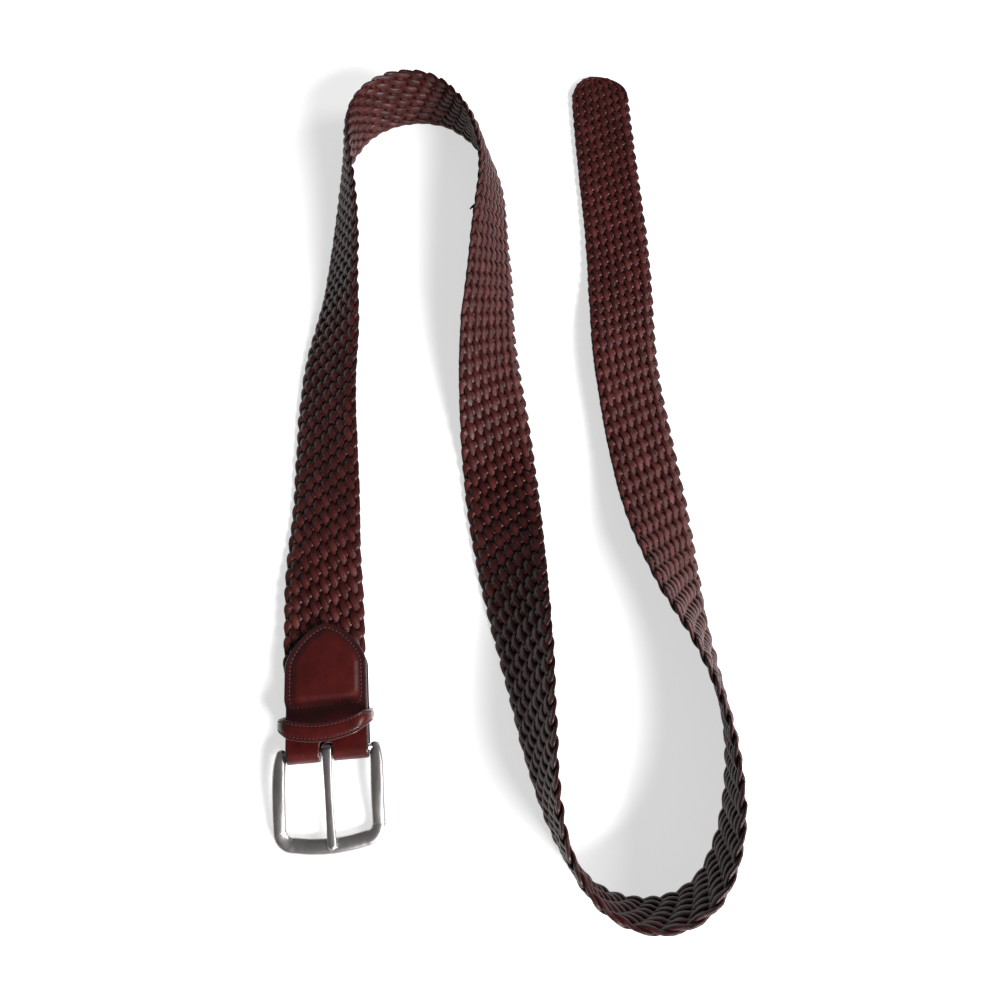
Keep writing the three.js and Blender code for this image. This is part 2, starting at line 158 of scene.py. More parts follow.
def hermite(column, at):
    share = ROUTE[:, 0]
    value = ROUTE[:, column]
    last = len(share) - 1
    at = np.asarray(at, float)
    i = np.clip(np.searchsorted(share, at, side="left") - 1, 0, last - 1)
    width = share[i + 1] - share[i]
    t = (at - share[i]) / width
    before = np.maximum(i - 1, 0)
    second = np.where(i == 0, 1, i + 1)
    after = np.minimum(i + 2, last)
    start = (value[second] - value[before]) / (share[second] - share[before])
    end = (value[after] - value[i]) / (share[after] - share[i])
    a = 2 * t**3 - 3 * t**2 + 1
    b = t**3 - 2 * t**2 + t
    c = t**3 - t**2
    return a * value[i] + b * width * start + (1 - a) * value[i + 1] + c * width * end


def smooth_noise(count, spacing, amount):
    """A smooth random line of count samples, with a new value every spacing samples."""
    knots = RNG.normal(0, amount, int(count / spacing) + 4)
    return np.interp(np.arange(count) / spacing, np.arange(len(knots)), knots)


def add_values(obj, name, values):
    layer = obj.data.attributes.new(name, "FLOAT", "POINT")
    layer.data.foreach_set("value", np.asarray(values, float))
    return obj


def make_mesh(name, points, quads, uv=None, tint=None):
    mesh = bpy.data.meshes.new(name)
    quads = np.asarray(quads, np.int32)
    mesh.vertices.add(len(points))
    mesh.vertices.foreach_set("co", (np.asarray(points, float) * MM).ravel())
    mesh.loops.add(quads.size)
    mesh.loops.foreach_set("vertex_index", quads.ravel())
    mesh.polygons.add(len(quads))
    mesh.polygons.foreach_set("loop_start", np.arange(0, quads.size, quads.shape[1], dtype=np.int32))
    mesh.update(calc_edges=True)
    mesh.validate()
    mesh.polygons.foreach_set("use_smooth", np.ones(len(mesh.polygons), bool))
    if uv is not None:
        layer = mesh.uv_layers.new(name="lay")
        index = np.empty(len(mesh.loops), np.int32)
        mesh.loops.foreach_get("vertex_index", index)
        layer.data.foreach_set("uv", np.asarray(uv, float)[index].ravel())
    if tint is not None:
        attribute = mesh.attributes.new("tint", "FLOAT", "POINT")
        attribute.data.foreach_set("value", np.asarray(tint, float))
    obj = bpy.data.objects.new(name, mesh)
    bpy.context.scene.collection.objects.link(obj)
    return obj


def ring_quads(rings, count, looped=False, first=0):
    spans = rings if looped else rings - 1
    i = np.arange(spans)[:, None]
    j = np.arange(count)[None]
    k = (j + 1) % count
    n = (i + 1) % rings
    quads = np.stack([i * count + j, i * count + k, n * count + k, n * count + j], -1)
    return quads.reshape(-1, 4) + first


def rounded(points, squareness):
    angle = 2 * np.pi * (np.arange(points) + 0.5) / points
    power = 2 / squareness
    u = np.sign(np.cos(angle)) * np.abs(np.cos(angle)) ** power
    w = np.sign(np.sin(angle)) * np.abs(np.sin(angle)) ** power
    return u, w


def recalculated(obj):
    """Turns all faces of a closed mesh outward."""
    import bmesh

    work = bmesh.new()
    work.from_mesh(obj.data)
    bmesh.ops.recalc_face_normals(work, faces=work.faces)
    work.to_mesh(obj.data)
    work.free()
    return obj


def capped_tube(name, sections, **more):
    """A closed body from rings of equally many points, its ends drawn in to a point."""
    sections = np.asarray(sections, float)
    rings, count = sections.shape[:2]
    points = sections.reshape(-1, 3)
    quads = ring_quads(rings, count)
    ends = np.array([sections[0].mean(0), sections[-1].mean(0)])
    points = np.concatenate([points, ends])
    j = np.arange(count)
    k = (j + 1) % count
    low = np.stack([np.full(count, rings * count), k, j, j], -1)
    high = np.stack([np.full(count, rings * count + 1), (rings - 1) * count + j, (rings - 1) * count + k,
                     (rings - 1) * count + k], -1)
    faces = [tuple(q) for q in quads] + [tuple(q[:3]) for q in low] + [tuple(q[:3]) for q in high]
    mesh = bpy.data.meshes.new(name)
    mesh.from_pydata([tuple(p * MM) for p in points], [], faces)
    mesh.update()
    mesh.polygons.foreach_set("use_smooth", np.ones(len(mesh.polygons), bool))
    obj = bpy.data.objects.new(name, mesh)
    bpy.context.scene.collection.objects.link(obj)
    return recalculated(obj)


# The band's route

BAND_SECTION = np.array([
    (1, 0.35), (0.965, 0.78), (0.88, 1), (0, 1), (-0.88, 1), (-0.965, 0.78),
    (-1, -0.35), (-0.965, -0.78), (-0.88, -1), (0, -1), (0.88, -1), (0.965, -0.78),
])


def band_rise(roll):
    u, w = BAND_SECTION[:, 0], BAND_SECTION[:, 1]
    reach = u * BAND_WIDTH * np.sin(roll)[:, None] + w * BAND_THICK * np.cos(roll)[:, None]
    return reach.max(1) / 2


def band_line():
    """Middle, across and normal vectors of the band at fine steps from its hidden end to its tip."""
    grip = TAB_REACH - BAND_TUCK
    at = np.arange(-grip, FREE_LENGTH + 0.5, 1.0)
    share = np.maximum(at, 0) / FREE_LENGTH
    heading = np.radians(hermite(1, share))
    roll = np.radians(hermite(2, share))
    rise = band_rise(roll)
    near = int(STATION_STEP)
    before = np.concatenate([np.full(near, rise[0]), rise[:-near]])
    after = np.concatenate([rise[near:], np.full(near, rise[-1])])
    lying = np.maximum(rise, (before + rise + after) / 3)
    held = (BAR_HEIGHT - BAND_THICK / 2) * (1 - ease(at / SETTLE_LENGTH))
    height = lying + held
    plan = np.sqrt(np.maximum(np.diff(at) ** 2 - np.diff(height) ** 2, 0))
    mean = (heading[1:] + heading[:-1]) / 2
    start = place(BAND_SHIFT, BAND_TUCK, 0)
    x = start[0] + np.concatenate([[0], np.cumsum(plan * np.cos(mean))])
    y = start[1] + np.concatenate([[0], np.cumsum(plan * np.sin(mean))])
    middle = np.stack([x, y, height], -1)
    right = np.stack([np.sin(heading), -np.cos(heading), 0 * heading], -1)
    cos, sin = np.cos(roll)[:, None], np.sin(roll)[:, None]
    return at, middle, right * cos + UP * sin, -right * sin + UP * cos


LINE_AT, LINE_MIDDLE, LINE_ACROSS, LINE_NORMAL = band_line()


def on_band(u, s, w):
    """Band coordinates (right of the middle, along, above the face) to the part's frame, in mm."""
    u, s, w = np.broadcast_arrays(u, s, w)

    def look(table):
        return np.stack([np.interp(s, LINE_AT, table[:, i]) for i in range(3)], -1)

    return look(LINE_MIDDLE) + u[..., None] * look(LINE_ACROSS) + w[..., None] * look(LINE_NORMAL)


# The braid: 16 laces, each crossing to the right in short steps over the odd columns and back in long steps over the
# even ones

LACES = 16
COLUMN = BAND_WIDTH / LACES
ROW_PITCH = 7.7
SHORT_STEP = 1.1
LONG_STEP = ROW_PITCH - SHORT_STEP
SHORT_WIDTH = 4.0
LONG_WIDTH = 3.25
LACE_THICK = 1.6
SHORT_RISE = 0.5
LONG_RISE = 1.08
LACE_POINTS = 10
CYCLE = 2 * LACES


def lace_advance():
    """How far a lace has come along the band at each phase of its cycle."""
    phase = np.linspace(0, CYCLE, 3201)
    turn = (LONG_STEP - SHORT_STEP) / 2
    rate = np.interp(
        phase,
        [0, 1, LACES - 1, LACES + 1, CYCLE - 1, CYCLE],
        [SHORT_STEP + turn, SHORT_STEP, SHORT_STEP, LONG_STEP, LONG_STEP, SHORT_STEP + turn],
    )
    steps = np.diff(phase) * (rate[1:] + rate[:-1]) / 2
    return phase, np.concatenate([[0], np.cumsum(steps)])


PHASE, ADVANCE = lace_advance()
CYCLE_LENGTH = ADVANCE[-1]


def lace_samples(first, last):
    """Phases from first to last, closer together on the long steps."""
    whole = np.arange(math.floor(first), math.ceil(last))
    out = []
    for unit in whole:
        steps = 4 if unit % CYCLE < LACES else 8
        out.append(unit + np.arange(steps) / steps)
    t = np.concatenate(out)
    return t[(t >= first) & (t <= last)]


def lace_level(t):
    """Height of the lace's middle over the band's middle: over and under in turn, level where it turns at an edge."""
    def node(n):
        x = n % CYCLE
        short = x < LACES
        rise = np.where(short, SHORT_RISE, LONG_RISE)
        over = np.where(short, np.where(x % 2 == 1, 1.0, -1.0), np.where(x % 2 == 0, 1.0, -1.0))
        return np.where((x == 0) | (x == LACES), 0.0, rise * over)

    whole = np.floor(t)
    f = t - whole
    blend = (1 - np.cos(np.pi * f)) / 2
    return node(whole) * (1 - blend) + node(whole + 1) * blend


def lace_across(t):
    x = t % CYCLE
    column = np.where(x <= LACES, x, CYCLE - x)
    u = (column - LACES / 2) * COLUMN
    edge = (LACES / 2 - 1) * COLUMN
    right = edge + COLUMN / 2 * (1 - (x - LACES) ** 2)
    from_left = np.where(x > LACES, x - CYCLE, x)
    left = -edge - COLUMN / 2 * (1 - from_left**2)
    u = np.where(np.abs(x - LACES) < 1, right, u)
    return np.where(np.abs(from_left) < 1, left, u)


TIP_INSET = 1.0
TIP_DRAW = 0.4
CUP_START = 150.0
CUP_RISE = 1.5


def tip_shape(s):
    """Near the tip: half width of the outline, share that the laces draw together to, shift and share of thickness."""
    into = np.clip((s - (FREE_LENGTH - TIP_LENGTH)) / TIP_LENGTH, 0, 1)
    arch = np.sqrt(1 - into**2)
    return BAND_WIDTH / 2 * arch, 1 - TIP_DRAW * (1 - arch), -TIP_SKEW * into**3, 1 - 0.3 * ease(into * 1.4)


def cupped(u, s):
    """The free end's right edge has curled up a little."""
    near = ease((s - (FREE_LENGTH - CUP_START)) / CUP_START)
    return CUP_RISE * near * (np.maximum(u, 0) / (BAND_WIDTH / 2)) ** 2


def lace(number):
    start = number * ROW_PITCH
    low, high = -21.0, FREE_LENGTH - 1.2
    turns = np.arange(-2, int(high / CYCLE_LENGTH) + 2)
    table_t = (turns[:, None] * CYCLE + PHASE[None, :-1]).ravel()
    table_s = (start + turns[:, None] * CYCLE_LENGTH + ADVANCE[None, :-1]).ravel()
    first, last = np.interp([low, high], table_s, table_t)
    t = lace_samples(first, last)
    count = len(t)
    s = np.interp(t, table_t, table_s)
    u = lace_across(t)
    w = lace_level(t)
    x = t % CYCLE
    long_run = ease(np.minimum(x - LACES, CYCLE - x) + 0.5)
    near_edge = np.clip(1 - np.minimum(np.abs(x - LACES), np.minimum(x, CYCLE - x)), 0, 1)
    width = (SHORT_WIDTH + (LONG_WIDTH - SHORT_WIDTH) * long_run) * (1 - 0.22 * ease(near_edge))
    width = width * (1 + smooth_noise(count, 5, 0.045))
    thick = LACE_THICK * (1 + smooth_noise(count, 6, 0.04)) * (1 - 0.08 * near_edge)
    s = s + smooth_noise(count, 9, 0.16)
    u = u + smooth_noise(count, 9, 0.1) * (1 - near_edge)
    w = w + smooth_noise(count, 8, 0.05)
    outline, draw, shift, flat = tip_shape(s)
    du, ds, dw = np.gradient(u), np.gradient(s), np.gradient(w)
    flow = np.hypot(du, ds)
    side_u, side_s = ds / flow, -du / flow
    slope = np.arctan2(dw, flow)
    twist = smooth_noise(count, 7, 0.07)
    ring_a, ring_b = rounded(LACE_POINTS, 2.35)
    a = ring_a[None] * width[:, None] / 2
    b = ring_b[None] * thick[:, None] / 2
    turned_a = a * np.cos(twist)[:, None] - b * np.sin(twist)[:, None]
    turned_b = a * np.sin(twist)[:, None] + b * np.cos(twist)[:, None]
    a, b = turned_a, turned_b
    lean = -np.sin(slope)[:, None] * b
    uu = u[:, None] + a * side_u[:, None] + lean * (du / flow)[:, None]
    ss = s[:, None] + a * side_s[:, None] + lean * (ds / flow)[:, None]
    ww = w[:, None] + b * np.cos(slope)[:, None]
    uu = uu * draw[:, None] + shift[:, None]
    ww = ww * flat[:, None] + cupped(uu, ss)
    points = on_band(uu, ss, ww)
    inside = (np.abs(u) * draw < outline - TIP_INSET) | (s < FREE_LENGTH - TIP_LENGTH)
    uv = np.stack([np.broadcast_to(s[:, None] * 0.1, a.shape), np.broadcast_to(
        (np.arange(LACE_POINTS) / LACE_POINTS)[None], a.shape)], -1)
    tint = np.broadcast_to((0.5 + smooth_noise(count, 14, 0.15) + RNG.normal(0, 0.05))[:, None], a.shape)
    quads = ring_quads(count, LACE_POINTS).reshape(count - 1, LACE_POINTS, 4)
    quads = quads[inside[1:] & inside[:-1]].reshape(-1, 4)
    # The laces' sides: partly their own darker cut edges, partly painted shade for the gaps between the laces.
    edge_tone_and_gap_shade = np.broadcast_to(np.abs(np.cos(2 * np.pi * (np.arange(LACE_POINTS) + 0.5) / LACE_POINTS))[None], a.shape)
    points, quads, uv, tint, edge_tone_and_gap_shade = loose_points(
        points.reshape(-1, 3), quads, uv.reshape(-1, 2), tint.ravel(), edge_tone_and_gap_shade.ravel())
    return add_values(make_mesh("lace_%02d" % number, points, quads, uv, tint), "edge_tone_and_gap_shade", edge_tone_and_gap_shade)


def loose_points(points, quads, *more):
    """Drops the points that no face uses."""
    used = np.zeros(len(points), bool)
    used[quads] = True
    index = np.cumsum(used) - 1
    return (points[used], index[quads]) + tuple(m[used] for m in more)


def tip_rim():
    """The pressed edge that binds the lace ends round the tip."""
    turn = np.radians(np.linspace(-14, 194, 90))
    straight = FREE_LENGTH - TIP_LENGTH
    reach = TIP_LENGTH - 1.8
    s = straight + reach * np.sin(turn)
    into = np.clip((s - straight) / TIP_LENGTH, 0, 1)
    u = (BAND_WIDTH / 2 - 1.0) * np.cos(turn)
    u = u - TIP_SKEW * into**3
    du, ds = np.gradient(u), np.gradient(s)
    flow = np.hypot(du, ds)
    ring_a, ring_b = rounded(12, 2.3)
    ends = ease(np.minimum(turn - turn[0], turn[-1] - turn) / 0.25)
    a = ring_a[None] * (0.3 + 0.7 * ends[:, None]) * 1.0
    b = ring_b[None] * (0.3 + 0.7 * ends[:, None]) * 1.35
    uu = u[:, None] + a * (ds / flow)[:, None]
    ss = s[:, None] - a * (du / flow)[:, None]
    points = on_band(uu, ss, b + cupped(uu, ss))
    uv = np.stack([np.broadcast_to(np.arange(90)[:, None] * 0.1, a.shape), np.broadcast_to(
        (np.arange(12) / 12)[None], a.shape)], -1)
    return make_mesh("tip_rim", points.reshape(-1, 3), ring_quads(90, 12), uv.reshape(-1, 2), np.full(90 * 12, 0.25))


def loose_end():
    """A frayed lace end that stands out of the edge."""
    steps = 14
    share = np.linspace(0, 1, steps)
    u = BAND_WIDTH / 2 - 1.2 + 0.8 * share
    s = LOOSE_PLACE + 2.2 * share**1.3
    w = -0.6 - 2.9 * share
    ring_a, ring_b = rounded(10, 2.2)
    size = np.sqrt(np.clip(1 - share**2.4, 0.01, 1))
    points = on_band(u[:, None] + ring_b * 0.55 * size[:, None], s[:, None] + ring_a * 0.9 * size[:, None],
                     w[:, None] + 0 * ring_b)
    return make_mesh("loose_end", points.reshape(-1, 3), ring_quads(steps, 10), np.zeros((steps * 10, 2)),
                     np.full(steps * 10, 0.35))


LOOSE_PLACE = 437.0
laces = [lace(i) for i in range(LACES)]
laces += [tip_rim(), loose_end()]


# Leather tab


def tab_half(s):
    straight = (FOLD_WIDTH + (TAB_WIDTH - FOLD_WIDTH) * ease((s - KEEPER_BACK) / SPREAD_LENGTH)) / 2
    into = np.clip((s - ARCH_START) / ARCH_LENGTH, 0, 1)
    arch = TAB_WIDTH / 2 * np.maximum(1 - into**ARCH_POWER, 0) ** (1 / ARCH_POWER)
    return np.where(s <= ARCH_START, straight, arch)


def edge_distance(v, s):
    """Distance of a point of the tab from its outline, in mm."""
    straight = tab_half(np.minimum(s, ARCH_START)) - np.abs(v)
    across = np.abs(v) / (TAB_WIDTH / 2)
    along = np.maximum(s - ARCH_START, 0) / ARCH_LENGTH
    rho = np.maximum(across**ARCH_POWER + along**ARCH_POWER, 0.01) ** (1 / ARCH_POWER)
    slope = rho ** (1 - ARCH_POWER)
    fall = np.hypot(
        slope * across ** (ARCH_POWER - 1) / (TAB_WIDTH / 2), slope * along ** (ARCH_POWER - 1) / ARCH_LENGTH)
    return np.where(s <= ARCH_START, straight, (1 - rho) / np.maximum(fall, 0.02))


def arch_line(inset):
    """The arch's outline from right to left, moved inward by inset."""
    turn = np.radians(np.linspace(0, 90, 500))
    v = TAB_WIDTH / 2 * np.cos(turn) ** (2 / ARCH_POWER)
    s = ARCH_START + ARCH_LENGTH * np.sin(turn) ** (2 / ARCH_POWER)
    dv, ds = np.gradient(v), np.gradient(s)
    flow = np.maximum(np.hypot(dv, ds), 1e-9)
    v, s = v - inset * ds / flow, s + inset * dv / flow
    keep = v > 0
    v, s = v[keep], s[keep]
    return np.concatenate([v, -v[::-1]]), np.concatenate([s, s[::-1]])


STITCH_INSET = 2.1
PAD_BLEND = 0.9
PAD_CREST = 0.95
PAD_CROWN = 0.25
FOLD_SHIFT = 0.38


def tab_relief(v, s):
    """Height of the tab's outer face over the leaf: rounded edges, a stitched furrow and the padded middle."""
    d = edge_distance(v, s)
    edge = -0.5 * (1 - np.sqrt(np.clip(1 - (1 - np.clip(d / 0.6, 0, 1)) ** 2, 0, 1)))
    inside = -np.logaddexp(-(d - PAD_INSET + 0.25) / PAD_BLEND, -(s - PAD_START) / PAD_BLEND) * PAD_BLEND
    pad = PAD_CREST * ease(inside / (1.6 * PAD_SHOULDER)) + PAD_CROWN * ease(inside / 12)
    furrow_at = np.where(s > PAD_START - 1.8, np.minimum(np.abs(d - STITCH_INSET), 9), 9)
    furrow = -0.16 * np.exp(-((furrow_at / 0.45) ** 2))
    cross = -0.16 * np.exp(-(((s - (PAD_START - 1.6)) / 0.45) ** 2)) * (np.abs(v) < 13.6)
    return edge + pad + np.minimum(furrow, cross)


def tab():
    across = 60
    x = -np.cos(np.pi * np.arange(across) / (across - 1))
    x = 0.35 * x + 0.65 * np.linspace(-1, 1, across)
    arch = ARCH_START + ARCH_LENGTH * np.sin(np.radians(np.linspace(0, 89.2, 40)))
    stations = np.concatenate([np.arange(0, ARCH_START, 0.55), arch])
    rings = []
    tints = []

    def ring(foot_s, foot_z, out_s, out_z, half, relief, s):
        move = FOLD_SHIFT * (1 - ease((max(foot_s, 0) - KEEPER_BACK) / SPREAD_LENGTH))
        v = x * half
        w = LEAF_THICK / 2 + relief(v)
        inner_v = np.linspace(half, -half, 8)
        inner_w = np.full(8, -LEAF_THICK / 2)
        inner_w[[0, -1]] += 0.25
        vv = np.concatenate([v, inner_v])
        ww = np.concatenate([w, inner_w])
        rings.append(place(vv * (1 + move / half) + move, foot_s + out_s * ww, foot_z + out_z * ww))
        shade = np.concatenate([1 - ease((half - np.abs(v)) / 1.6), np.ones(8)])
        if s is not None:
            d = edge_distance(v, np.full_like(v, s))
            rim_shade = 1 - 0.3 * ease(d / 1.0) - 0.7 * ease((d - STITCH_INSET + 0.2) / 2.2)
            shade[:across] = (rim_shade * ease((s - PAD_START + 4) / 3)
                              + (1 - ease(d / 1.2)) * ease((PAD_START - s) / 3))
        tints.append(shade)

    for s in stations[::-1]:
        half = max(float(tab_half(np.array(s))), 0.25)
        ring(s, BAR_HEIGHT + LEAF_MIDDLE, 0, 1, half, lambda v, s=s: tab_relief(v, np.full_like(v, s)), s)

    def plain(v):
        d = np.max(np.abs(v)) - np.abs(v)
        return -0.5 * (1 - np.sqrt(np.clip(1 - (1 - np.clip(d / 0.6, 0, 1)) ** 2, 0, 1)))

    for angle in np.linspace(90, 270, 27)[1:-1]:
        a = math.radians(angle)
        out_s, out_z = math.cos(a), math.sin(a)
        ring(LEAF_MIDDLE * out_s, BAR_HEIGHT + LEAF_MIDDLE * out_z, out_s, out_z, FOLD_WIDTH / 2, plain, None)
    for s in stations:
        half = max(float(tab_half(np.array(s))), 0.25)
        ring(s, BAR_HEIGHT - LEAF_MIDDLE, 0, -1, half, plain, s)
    rings = np.array(rings)
    obj = capped_tube("tab", rings)
    values = np.concatenate([np.array(tints).ravel(), [1.0, 1.0]])
    attribute = obj.data.attributes.new("tint", "FLOAT", "POINT")
    attribute.data.foreach_set("value", values)
    return obj


def slot_cutter():
    radius = SLOT_WIDTH / 2
    front = LEAF_INSIDE + LEAF_THICK + 2
    angle = np.radians(np.linspace(0, 180, 25))
    v = np.concatenate([[-radius, radius], radius * np.cos(angle)])
    s = np.concatenate([[-front, -front], SLOT_REACH - radius + radius * np.sin(angle)])
    low, high = BAR_HEIGHT - TAB_TOP, BAR_HEIGHT + TAB_TOP
    rings = np.array([place(v, s, np.full_like(v, z)) for z in (low, high)])
    count = len(v)
    faces = [tuple(q) for q in ring_quads(2, count)] + [tuple(range(count))[::-1], tuple(range(count, 2 * count))]
    mesh = bpy.data.meshes.new("slot_cutter")
    mesh.from_pydata([tuple(p * MM) for p in rings.reshape(-1, 3)], [], faces)
    obj = bpy.data.objects.new("slot_cutter", mesh)
    bpy.context.scene.collection.objects.link(obj)
    return recalculated(obj)


def cut(obj, cutter):
    """Cuts cutter out of obj and removes the cutter."""
    modifier = obj.modifiers.new("cut", "BOOLEAN")
    modifier.operation = "DIFFERENCE"
    modifier.object = cutter
    modifier.solver = "EXACT"
    graph = bpy.context.evaluated_depsgraph_get()
    mesh = bpy.data.meshes.new_from_object(obj.evaluated_get(graph))
    obj.modifiers.clear()
    obj.data = mesh
    bpy.data.objects.remove(cutter)
    return obj


tab_piece = cut(tab(), slot_cutter())


# Keeper


def keeper_path():
    """Middle line of the keeper's wall in buckle coordinates (right, up), with its outward direction."""
    half = FOLD_WIDTH / 2 + KEEPER_SIDE
    foot = KEEPER_THICK
    top = TAB_TOP + KEEPER_ROOM
    corners = [(1, top, KEEPER_TOP_CORNER, 0, 14), (-1, top, KEEPER_TOP_CORNER, 90, 14),
               (-1, foot, KEEPER_FOOT_CORNER, 180, 8), (1, foot, KEEPER_FOOT_CORNER, 270, 8)]
    path = []
    for side, height, radius, start, steps in corners:
        centre = (side * (half - radius), height + (-radius if height == top else radius))
        for i in range(steps + 1):
            a = math.radians(start + 90 * i / steps)
            out = (math.cos(a), math.sin(a))
            reach = radius + KEEPER_THICK / 2
            path.append((centre[0] + out[0] * reach, centre[1] + out[1] * reach, out[0], out[1]))
        if start == 0:
            for share in np.linspace(1, -1, 19)[1:-1]:
                path.append((share * (half - radius), top + KEEPER_THICK / 2, 0, 1))
        if start == 180:
            for share in np.linspace(-1, 1, 13)[1:-1]:
                path.append((share * (half - radius), foot - KEEPER_THICK / 2, 0, -1))
        if start in (90, 270):
            for share in np.linspace(0, 1, 8)[1:-1]:
                high, low = top - KEEPER_TOP_CORNER, foot + KEEPER_FOOT_CORNER
                z = high + (low - high) * share if start == 90 else low + (high - low) * share
                path.append((side * (half + KEEPER_THICK / 2), z, side, 0))
    path = np.array(path)
    share = path[:, 0] / half
    path[:, 1] += np.where(path[:, 1] > TAB_TOP, KEEPER_CROWN * np.maximum(1 - share**2, 0), 0)
    return path


def keeper_point(v, s, z):
    """Leans, bows and turns a point of the keeper, and gives its place in the part's frame."""
    top = TAB_TOP + KEEPER_ROOM + KEEPER_THICK
    share = 2 * v / FOLD_WIDTH
    end = np.clip((np.abs(share) - 0.78) / 0.38, 0, 1) ** 2
    s = s * (1 - 0.34 * end) + 0.9 * end
    bow = np.where(z > TAB_TOP - 2, KEEPER_BOW * np.maximum(1 - share**2, 0) * ease((z - TAB_TOP + 2) / 2), 0)
    s = KEEPER_LEAN * (1 - z / top) - bow + s
    turn = math.radians(KEEPER_TURN)
    across = v * math.cos(turn) - s * math.sin(turn)
    along = KEEPER_PLACE + v * math.sin(turn) + s * math.cos(turn)
    return place(across, along, z)


KEEPER_STITCH = 2.35


def keeper():
    half, thick = KEEPER_WIDTH / 2, KEEPER_THICK / 2
    s_out = np.linspace(half, -half, 29)
    edge = -0.45 * (1 - np.sqrt(np.clip(1 - (1 - np.clip((half - np.abs(s_out)) / 0.55, 0, 1)) ** 2, 0, 1)))
    dome = 0.28 * np.clip(1 - (s_out / KEEPER_STITCH) ** 2, 0, 1)
    furrow = -0.14 * np.exp(-(((np.abs(s_out) - KEEPER_STITCH) / 0.35) ** 2))
    w_out = thick + edge + dome + furrow
    s_in = np.array([-half, -half + 0.4, 0, half - 0.4, half])
    w_in = np.array([-thick + 0.3, -thick, -thick, -thick, -thick + 0.3])
    s_all = np.concatenate([s_out, s_in])
    w_all = np.concatenate([w_out, w_in])
    path = keeper_path()
    v = path[:, 0, None] + path[:, 2, None] * w_all[None]
    z = np.maximum(path[:, 1, None] + path[:, 3, None] * w_all[None], 0.02)
    points = keeper_point(v, np.broadcast_to(s_all[None], v.shape), z)
    quads = ring_quads(len(path), len(s_all), looped=True)
    shade = 1 - ease((half - np.abs(s_all)) / 0.8)
    shade[len(s_out):] = 1
    tint = np.broadcast_to(shade[None], v.shape)
    return recalculated(make_mesh("keeper_loop", points.reshape(-1, 3), quads, tint=tint.ravel()))


keeper_piece = keeper()


# Stitches


def stitch_mesh(name, places, length=1.15, radius=0.26):
    """One mesh of small sewn stitches. Each place is a middle point, a run direction and an up direction, in mm."""
    angle, count = np.meshgrid(np.linspace(0, 2 * np.pi, 8, endpoint=False), np.linspace(-1, 1, 7))
    swell = np.sqrt(np.clip(1 - (np.abs(count) * 0.97) ** 3, 0, 1))
    local = np.stack([count * length / 2, np.cos(angle) * radius * swell, np.sin(angle) * radius * swell
                      - 0.28 * count**2 * radius], -1).reshape(-1, 3)
    quads = ring_quads(7, 8)
    points, faces = [], []
    for i, (middle, run, up) in enumerate(places):
        run = run / np.linalg.norm(run)
        side = np.cross(up, run)
        side = side / np.linalg.norm(side)
        up = np.cross(run, side)
        skew = RNG.normal(0, 0.06)
        run, side = run * math.cos(skew) + side * math.sin(skew), side * math.cos(skew) - run * math.sin(skew)
        points.append(middle + local[:, :1] * run + local[:, 1:2] * side + local[:, 2:] * up)
        faces.append(quads + i * len(local))
    return make_mesh(name, np.concatenate(points), np.concatenate(faces))


def tab_stitches():
    pitch = 1.62
    side = np.arange(PAD_START - 1.6, ARCH_START, 0.05)
    arch_v, arch_s = arch_line(STITCH_INSET)
    v = np.concatenate([tab_half(side) - STITCH_INSET, arch_v, -(tab_half(side[::-1]) - STITCH_INSET)])
    s = np.concatenate([side, arch_s, side[::-1]])
    across = np.arange(-13.2, 13.2, 0.05)
    runs = [(v, s), (across, np.full_like(across, PAD_START - 1.6))]
    places = []
    for v, s in runs:
        gone = np.concatenate([[0], np.cumsum(np.hypot(np.diff(v), np.diff(s)))])
        for at in np.arange(pitch / 2, gone[-1], pitch):
            vs = np.interp([at - 0.2, at, at + 0.2], gone, v)
            ss = np.interp([at - 0.2, at, at + 0.2], gone, s)
            z = BAR_HEIGHT + LEAF_MIDDLE + LEAF_THICK / 2 + tab_relief(vs, ss)
            p = place(vs, ss, z)
            places.append((p[1] + UP * 0.06, p[2] - p[0], UP))
    return stitch_mesh("tab_stitches", places)


def keeper_stitches():
    pitch = 1.5
    path = keeper_path()
    top = path[:47]
    places = []
    for row in (-KEEPER_STITCH, KEEPER_STITCH):
        w = KEEPER_THICK / 2
        v = top[:, 0] + top[:, 2] * w
        z = top[:, 1] + top[:, 3] * w
        line = keeper_point(v, np.full_like(v, row), z)
        gone = np.concatenate([[0], np.cumsum(np.linalg.norm(np.diff(line, axis=0), axis=1))])
        for at in np.arange(pitch / 2, gone[-1], pitch):
            p = np.stack([np.interp([at - 0.3, at, at + 0.3], gone, line[:, i]) for i in range(3)], -1)
            out = np.array([np.interp(at, gone, top[:, 2]), np.interp(at, gone, top[:, 3])])
            up = out[0] * ACROSS + out[1] * UP
            places.append((p[1] + up * 0.02, p[2] - p[0], up))
    return stitch_mesh("keeper_stitches", places, length=1.05, radius=0.22)


tab_thread = tab_stitches()
keeper_thread = keeper_stitches()


# Buckle frame


def smooth_rows(rows, steps):
    """Catmull-Rom through rows of numbers, with steps between each two."""
    rows = np.asarray(rows, float)
    padded = np.concatenate([rows[:1] * 2 - rows[1:2], rows, rows[-1:] * 2 - rows[-2:-1]])
    out = []
    for i in range(1, len(padded) - 2):
        p0, p1, p2, p3 = padded[i - 1:i + 3]
        for t in np.arange(steps) / steps:
            out.append(0.5 * (2 * p1 + (p2 - p0) * t + (2 * p0 - 5 * p1 + 4 * p2 - p3) * t**2
                              + (3 * p1 - p0 - 3 * p2 + p3) * t**3))
    out.append(rows[-1])
    return np.array(out)


def frame_height(s):
    down = np.clip(-s / FRAME_REACH, 0, 1)
    return BAR_HEIGHT + (END_THICK / 2 - BAR_HEIGHT) * down + FRAME_BOW * np.sin(np.pi * down)


